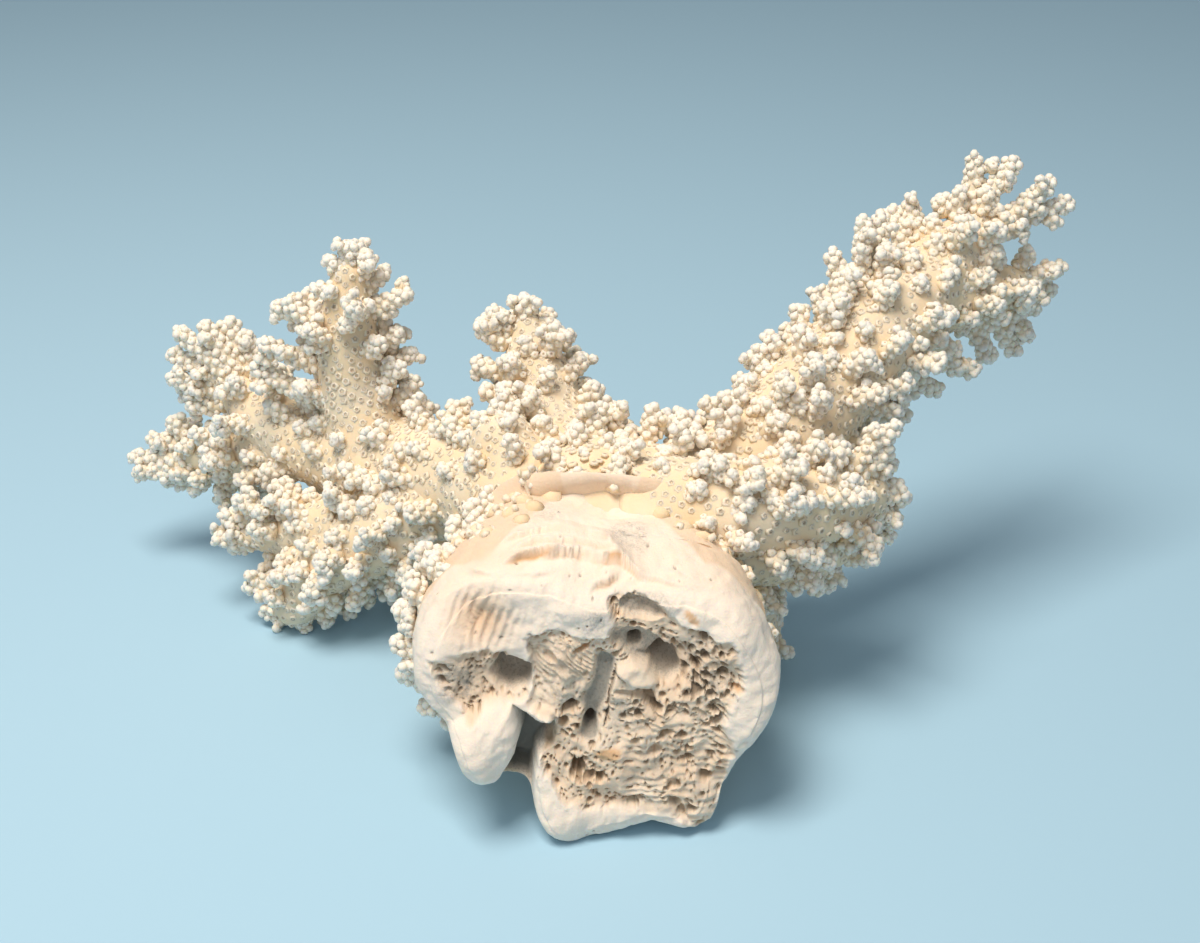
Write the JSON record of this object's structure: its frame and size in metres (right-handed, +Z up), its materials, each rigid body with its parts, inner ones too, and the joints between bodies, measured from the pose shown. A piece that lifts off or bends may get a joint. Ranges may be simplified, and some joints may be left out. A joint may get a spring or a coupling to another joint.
{
  "type": "branching coral",
  "caption": "Bleached branching coral lying on its side, with a broken hollowed foot and limbs covered in short tubular branchlets.",
  "frame": {"origin": "on the surface it lies on, under the middle of its bounding box", "axes": "+X along the widest spread of the limbs, with the tall limb at +X; -Y out of the broken foot's face; +Z up from the surface it lies on"},
  "size_m": [0.272, 0.1487, 0.1271],
  "materials": {
    "coral": "matte",
    "broken_foot": "matte"
  },
  "bodies": {
    "root": {"holdfast": "broken_foot", "stem": "coral", "left_limb": "coral", "left_tower": "coral", "left_fan": "coral", "left_fan_lower": "coral", "left_foot": "coral", "left_prop": "coral", "middle_branch": "coral", "right_arm": "coral", "right_crown": "coral", "right_side_branch": "coral", "right_lobe": "coral", "right_prop": "coral", "rear_prop": "coral"}
  },
  "joints": []
}
